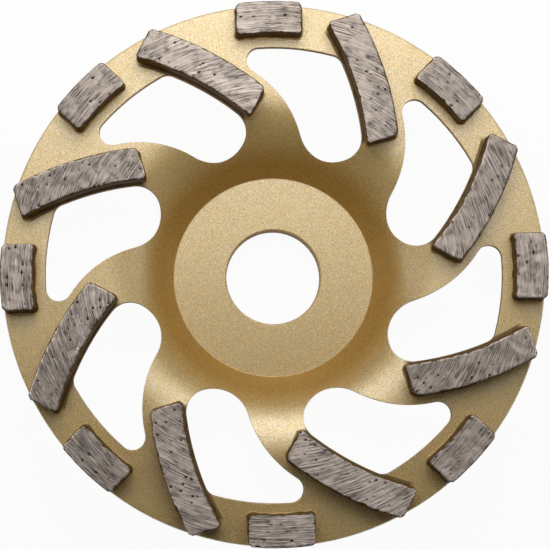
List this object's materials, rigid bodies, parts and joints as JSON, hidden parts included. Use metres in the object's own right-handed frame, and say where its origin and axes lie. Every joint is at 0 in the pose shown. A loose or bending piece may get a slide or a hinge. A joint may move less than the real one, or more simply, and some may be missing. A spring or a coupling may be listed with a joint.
{
  "type": "diamond cup wheel",
  "caption": "Flat grinding cup for an angle grinder: gold painted steel cup with swept windows and raised diamond segments around its rim.",
  "frame": {"origin": "on the bore axis, in the plane of the clamping face at the back of the hub", "axes": "+Z along the bore axis towards the working side, +Y through the middle of short_segment_1"},
  "size_m": [0.125, 0.125, 0.0226],
  "materials": {
    "gold_paint": "metallic gold paint, satin",
    "diamond_segment": "sintered metal and diamond grit, ground flat and worn"
  },
  "bodies": {
    "root": {"wheel_body": "gold_paint", "short_segment_1": "diamond_segment", "long_segment_1": "diamond_segment", "short_segment_2": "diamond_segment", "long_segment_2": "diamond_segment", "short_segment_3": "diamond_segment", "long_segment_3": "diamond_segment", "short_segment_4": "diamond_segment", "long_segment_4": "diamond_segment", "short_segment_5": "diamond_segment", "long_segment_5": "diamond_segment", "short_segment_6": "diamond_segment", "long_segment_6": "diamond_segment", "short_segment_7": "diamond_segment", "long_segment_7": "diamond_segment", "short_segment_8": "diamond_segment", "long_segment_8": "diamond_segment"}
  },
  "joints": []
}
